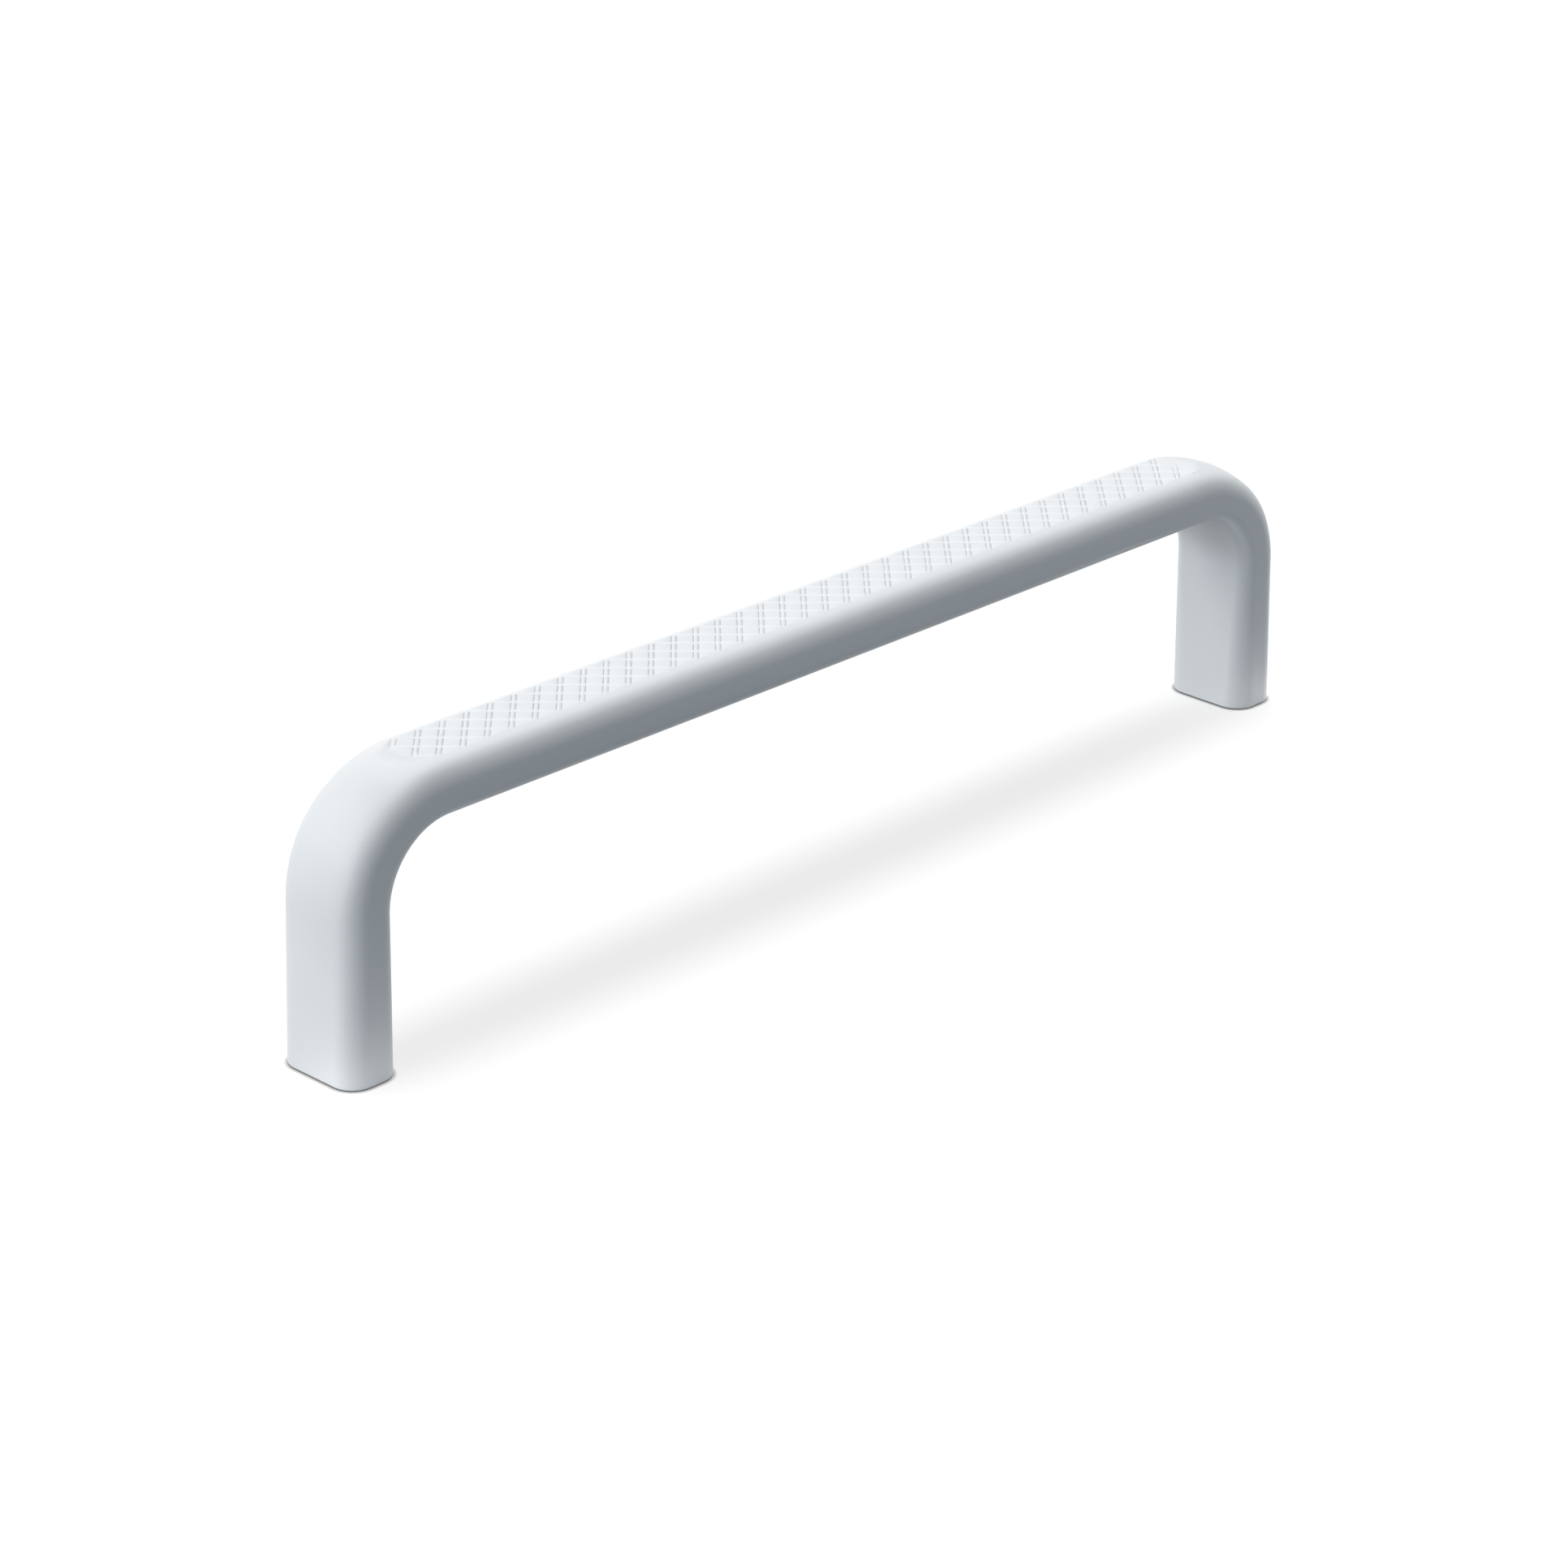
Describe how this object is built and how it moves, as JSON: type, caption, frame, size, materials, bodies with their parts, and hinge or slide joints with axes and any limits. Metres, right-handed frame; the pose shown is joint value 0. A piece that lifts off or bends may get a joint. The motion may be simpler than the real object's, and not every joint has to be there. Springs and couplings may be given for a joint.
{
  "type": "bow pull handle",
  "caption": "White bow pull handle with soft edges, a diamond grip panel along its bar and threaded fixing bushes in its feet.",
  "frame": {"origin": "midway between the two fixing holes, in the plane of the feet", "axes": "+X along the bar from the left foot to the right foot, +Z from the feet towards the grip panel"},
  "size_m": [0.168, 0.013, 0.0362],
  "materials": {
    "white_polymer": "fine satin moulded surface",
    "brass": "turned"
  },
  "bodies": {
    "root": {"handle_bow": "white_polymer", "left_bush": "brass", "right_bush": "brass"}
  },
  "joints": []
}
